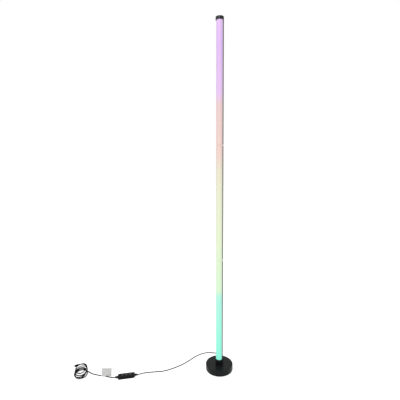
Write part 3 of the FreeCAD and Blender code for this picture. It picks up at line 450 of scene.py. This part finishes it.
STEP = 0.00002                          # a face square to the axis is drawn as a step this long
BASE_RADIUS = 0.060
BUSHING_NECK = BUSHING_FOOT + 0.002     # where the inner flange ends
BUSHING_TAIL = 0.0622
RELIEF_FOOT = 0.03265                   # the inner face of the flange inside the case's wall
RELIEF_NECK = 0.03415
RELIEF_COLLAR = 0.03626                 # just clear of the case's end
RELIEF_TAIL = 0.0389
BORE_RADIUS = 0.0031
BORE_DEPTH = 0.0095
CONNECTOR_RADIUS = 0.00475
GRIP_FOOT = 0.0053
GRIP_END = 0.0149
BODY_END = 0.0166                       # where the connector's body ends and its tail begins

# Strain reliefs: a flange inside the wall, a neck through it, and a ribbed tail.
bushing = turned("base_relief", [
    (BUSHING_FOOT, 0.0046), (BUSHING_FOOT + 0.0004, 0.005), (BUSHING_NECK, 0.005),
    (BUSHING_NECK + STEP, 0.0034), (BASE_RADIUS - STEP, 0.0034), (BASE_RADIUS, 0.005),
    (0.0615, 0.005), (0.062, 0.0045)]
    + ring_stations(BUSHING_TAIL, BUSHING_TIP, 0.004, 0.0032, 5, 0.0008))
lay(bushing, (0, 0, CORD_EXIT_HEIGHT), (0, 1, 0))
dressed(bushing, moulded_pvc, "lamp", "soft_black", "cord_bushing")

relief = turned("case_relief_lamp_side", [
    (RELIEF_FOOT, 0.0037), (RELIEF_FOOT + 0.0003, 0.004), (RELIEF_NECK, 0.004),
    (RELIEF_NECK + STEP, 0.003), (RELIEF_COLLAR - STEP, 0.003), (RELIEF_COLLAR, 0.0043),
    (0.0366, 0.00475), (0.0386, 0.00475)]
    + ring_stations(RELIEF_TAIL, RELIEF_REACH, 0.00465, 0.0038, 5, 0.001))
far_relief = own_copy(relief, "case_relief_supply_side")
for piece, side, node in ((relief, 1, "relief_lamp_side"), (far_relief, -1, "relief_supply_side")):
    lay(piece, controller_point(0, 0, CASE_MIDDLE), controller_point(side, 0, 0) - controller_point(0, 0, 0))
    dressed(piece, moulded_pvc, "lamp", "soft_black", node)

# The connector, from the bottom of its bore out over the mouth, then back along its ribbed grip.
connector = turned("cord_connector", [
    (BORE_DEPTH, BORE_RADIUS), (0.0005, BORE_RADIUS), (0, 0.0035), (0, 0.0041),
    (0.0007, CONNECTOR_RADIUS), (0.0045, CONNECTOR_RADIUS), (0.0047, 0.0044), (0.0052, 0.0044)]
    + ring_stations(GRIP_FOOT, GRIP_END, CONNECTOR_RADIUS, 0.0046, 6, 0.0004)
    + [(0.0156, 0.0045), (BODY_END - 0.0001, 0.0036), (BODY_END, 0.0032), (CONNECTOR_LENGTH, 0.0025)])
lay(connector, connector_mouth, -connector_way)
dressed(connector, moulded_pvc, "lamp", "soft_black", "connector_body")


# ---------------------------------------------------------------- screws

def cross_screw(name, head_radius, head_height, shank_radius, length):
    """A flat-headed screw with a cross recess, its head's face at the origin and its tip up the Z axis."""
    screw = turned(name, [(0, head_radius * 0.94), (0.00012, head_radius), (head_height, shank_radius),
                          (length - 0.0012, shank_radius), (length, shank_radius * 0.45)], 40)
    for turn in (0, 90):
        bpy.ops.object.select_all(action="DESELECT")
        bpy.ops.mesh.primitive_cube_add(size=1, location=(0, 0, 0.0004))
        arm = bpy.context.object
        bpy.ops.object.mode_set(mode="EDIT")
        bpy.ops.mesh.select_all(action="SELECT")
        bpy.ops.transform.resize(value=(head_radius * 1.15, head_radius * 0.3, 0.0016),
                                 center_override=(0, 0, 0.0004))
        bpy.ops.mesh.select_all(action="DESELECT")
        bpy.ops.object.mode_set(mode="OBJECT")
        for vertex in arm.data.vertices:
            vertex.select = vertex.co.z > 0
        bpy.ops.object.mode_set(mode="EDIT")
        bpy.ops.transform.resize(value=(0.45, 0.6, 1), center_override=(0, 0, 0.0012))
        bpy.ops.object.mode_set(mode="OBJECT")
        bpy.ops.object.transform_apply(location=True, rotation=True, scale=True)
        arm.data.transform(Matrix.Rotation(math.radians(turn), 4, "Z"))
        apply_modifier(screw, "BOOLEAN", {"operation": "DIFFERENCE", "object": arm})
        bpy.data.objects.remove(arm)
    return screw


def set_screws(screw, places, way, name, node):
    """A screw at each place, all pointing one way, joined into the piece that stands for a node."""
    screws = [own_copy(screw, name) for place in places[1:]] + [screw]
    for piece, place in zip(screws, places):
        lay(piece, place, way)
    dressed(joined(screws, name), zinc_plated_steel, "lamp", "steel_screw", node)


SCREW_HEAD = (0.0028, 0.0015)           # radius and height
set_screws(cross_screw("cap_screw", *SCREW_HEAD, 0.0014, 0.021),
           [(x, y, LAMP_HEIGHT) for x, y in SCREW_PORTS], (0, 0, -1), "cap_screws", "top_cap_screws")
set_screws(cross_screw("joint_screw", *SCREW_HEAD, 0.0015, 0.007),
           [(0, CHANNEL_BACK, height) for height in JOINT_SCREW_HEIGHTS], (0, -1, 0),
           "back_screws", "joint_screws")


# ---------------------------------------------------------------- marks on the buttons

def button_mark(name, key, x, stations):
    """A small raised mark moulded on a button's face, sunk a little into it."""
    mark = turned(name, stations, 32)
    lay(mark, controller_point(x, 0, BUTTON_TOP - 0.0001), (0, 0, 1))
    dressed(mark, pad_print, key, "button_grey")


button_mark("power_ring", "power_key", BUTTON_SPACING,
            [(0, 0.0012), (0.00025, 0.0013), (0.00028, 0.0015), (0.00028, 0.0018), (0.0002, 0.0020),
             (0, 0.0021)])
button_mark("colour_dot", "colour_key", 0,
            [(0, 0.0013), (0.00018, 0.0012), (0.00028, 0.0009), (0.00032, 0.0004)])
button_mark("speed_dot", "speed_key", -BUTTON_SPACING,
            [(0, 0.0008), (0.00018, 0.00075), (0.00028, 0.0005), (0.0003, 0.0002)])


# ---------------------------------------------------------------- paper label

def paper_leaf(name, thickness, place, width, foot, height):
    """One leaf of the label: it stands on its foot line and isn't quite flat."""
    bpy.ops.object.select_all(action="DESELECT")
    bpy.ops.mesh.primitive_grid_add(x_subdivisions=30, y_subdivisions=22, size=1)
    leaf = bpy.context.object
    leaf.name = leaf.data.name = name
    bpy.ops.object.mode_set(mode="EDIT")
    bpy.ops.mesh.select_all(action="SELECT")
    bpy.ops.transform.resize(value=(width, height - foot, 1), center_override=(0, 0, 0))
    bpy.ops.transform.translate(value=(0, (height + foot) / 2, 0))
    bpy.ops.object.mode_set(mode="OBJECT")
    leaf.data.transform(Matrix.Translation(place) @ Matrix.Rotation(math.radians(90), 4, "X"))
    waves = bpy.data.textures.new(name + "_waves", "CLOUDS")
    waves.noise_scale = 0.03
    apply_modifier(leaf, "DISPLACE", {"texture": waves, "texture_coords": "GLOBAL", "strength": 0.0016,
                                      "mid_level": 0.5, "direction": "Y"})
    apply_modifier(leaf, "SOLIDIFY", {"thickness": thickness, "offset": 0})
    apply_modifier(leaf, "BEVEL", {"width": thickness * 0.3, "segments": 2, "limit_method": "ANGLE"})
    return leaf


LABEL_PLACE = Vector((-0.4836, -0.1520, 0.0024))        # on the cord's axis, in the middle of the wrap
LABEL_WAY = math.radians(-1.15)                         # of the cord there
LABEL_WIDTH = 0.043
LABEL_HEIGHT = 0.0335
LABEL_SHIFT = 0.0105                                    # of the leaves, along the cord
LABEL_SKEW = math.radians(12.5)
LABEL_LEAN = math.radians(-18)
WRAP_LENGTH = 0.023
WRAP_SHIFT = -0.003                                     # keeps the wrap on the cord's straight run
WRAP_RADIUS = 0.0022
WRAP_THICKNESS = 0.00022
LEAF_FOOT = 0.0023                                      # above the cord's axis
LEAF_THICKNESS = 0.00016

front_leaf = paper_leaf("front_leaf", LEAF_THICKNESS, (0, -0.0001, 0),
                        LABEL_WIDTH, LEAF_FOOT, LABEL_HEIGHT)
back_leaf = paper_leaf("back_leaf", LEAF_THICKNESS, (0.0003, 0.0001, -0.0004),
                       LABEL_WIDTH - 0.0008, LEAF_FOOT, LABEL_HEIGHT)
for piece in (front_leaf, back_leaf):
    piece.data.transform(Matrix.Translation(LABEL_PLACE) @ Matrix.Rotation(LABEL_WAY, 4, "Z")
                         @ Matrix.Translation((LABEL_SHIFT, 0, 0)) @ Matrix.Rotation(LABEL_SKEW, 4, "Z")
                         @ Matrix.Rotation(LABEL_LEAN, 4, "X"))

bpy.ops.object.select_all(action="DESELECT")
bpy.ops.mesh.primitive_circle_add(vertices=32, radius=WRAP_RADIUS, fill_type="NOTHING",
                                  location=(0, 0, -WRAP_LENGTH / 2))
wrap = bpy.context.object
bpy.ops.object.mode_set(mode="EDIT")
bpy.ops.mesh.select_all(action="SELECT")
bpy.ops.mesh.extrude_region_move(TRANSFORM_OT_translate={"value": (0, 0, WRAP_LENGTH)})
bpy.ops.mesh.select_all(action="SELECT")
bpy.ops.mesh.normals_make_consistent(inside=False)
bpy.ops.object.mode_set(mode="OBJECT")
bpy.ops.object.transform_apply(location=True, rotation=True, scale=True)
apply_modifier(wrap, "SOLIDIFY", {"thickness": WRAP_THICKNESS, "offset": 0})
apply_modifier(wrap, "BEVEL", {"width": 0.00006, "segments": 2, "limit_method": "ANGLE"})
along_cord = Vector((math.cos(LABEL_WAY), math.sin(LABEL_WAY), 0))
lay(wrap, LABEL_PLACE + along_cord * WRAP_SHIFT, along_cord)
label = joined([front_leaf, back_leaf, wrap], "paper_label")
dressed(label, label_paper, "lamp", "label_paper", "label_flag")


case_pieces = ["controller_bottom", "controller_top", "controller_screws", "controller_board",
               "controller_chips", "button_switches"]
for key in ("power", "colour", "speed"):
    case_pieces += [key + "_button", key + "_plunger"]


# ---------------------------------------------------------------- floor, light

def showing_white(material):
    """1 for what the camera, a reflection or a clear body sees directly, 0 for light that falls on things."""
    ray = add_node(material, "ShaderNodeLightPath", {})
    seen = add_node(material, "ShaderNodeMath", {"operation": "MAXIMUM"},
                    {0: ray.outputs["Is Camera Ray"], 1: ray.outputs["Is Glossy Ray"]})
    return add_node(material, "ShaderNodeMath", {"operation": "MAXIMUM"},
                    {0: seen.outputs["Value"], 1: ray.outputs["Is Transmission Ray"]})


bpy.ops.object.select_all(action="DESELECT")
bpy.ops.mesh.primitive_plane_add(size=24, location=(0, 0, -0.0003))
floor = bpy.context.object
floor.name = "floor"
pale_floor, floor_shader = new_material("pale_floor", {"Roughness": 0.9, "Specular IOR Level": 0.0,
                                                       "Base Color": (0.85, 0.85, 0.85, 1),
                                                       "Emission Color": (1, 1, 1, 1)})
lift = add_node(pale_floor, "ShaderNodeMath", {"operation": "MULTIPLY", 1: 0.60},
                {0: showing_white(pale_floor).outputs["Value"]})
pale_floor.node_tree.links.new(lift.outputs["Value"], floor_shader.inputs["Emission Strength"])
floor.data.materials.append(pale_floor)

world = bpy.data.worlds.new("studio")
bpy.context.scene.world = world
world.use_nodes = True
sky = world.node_tree.nodes["Background"]
sky.inputs["Color"].default_value = (1, 1, 1, 1)
level = add_node(world, "ShaderNodeMapRange", {"To Min": 0.55, "To Max": 1.0},
                 {"Value": showing_white(world).outputs["Value"]})
world.node_tree.links.new(level.outputs["Result"], sky.inputs["Strength"])


def softbox(name, place, aim, width, height, watts):
    """A rectangular lamp at a place, turned to face a point."""
    light = bpy.data.lights.new(name, "AREA")
    light.shape = "RECTANGLE"
    light.size = width
    light.size_y = height
    light.energy = watts
    lamp = bpy.data.objects.new(name, light)
    bpy.context.scene.collection.objects.link(lamp)
    lamp.matrix_world = (Matrix.Translation(place)
                         @ (Vector(aim) - Vector(place)).to_track_quat("-Z", "Y").to_matrix().to_4x4())
    return lamp


softbox("strip_by_camera", (-0.25, -2.6, 1.1), (0, 0, 0.6), 0.3, 1.8, 8)
softbox("high_window", (-0.45, -2.9, 2.75), (0, 0, 1.45), 0.35, 0.5, 20)
softbox("overhead", (-0.8, -0.6, 3.0), (-0.1, 0, 0.3), 2.4, 2.4, 30)

bpy.context.scene.view_settings.view_transform = "Standard"
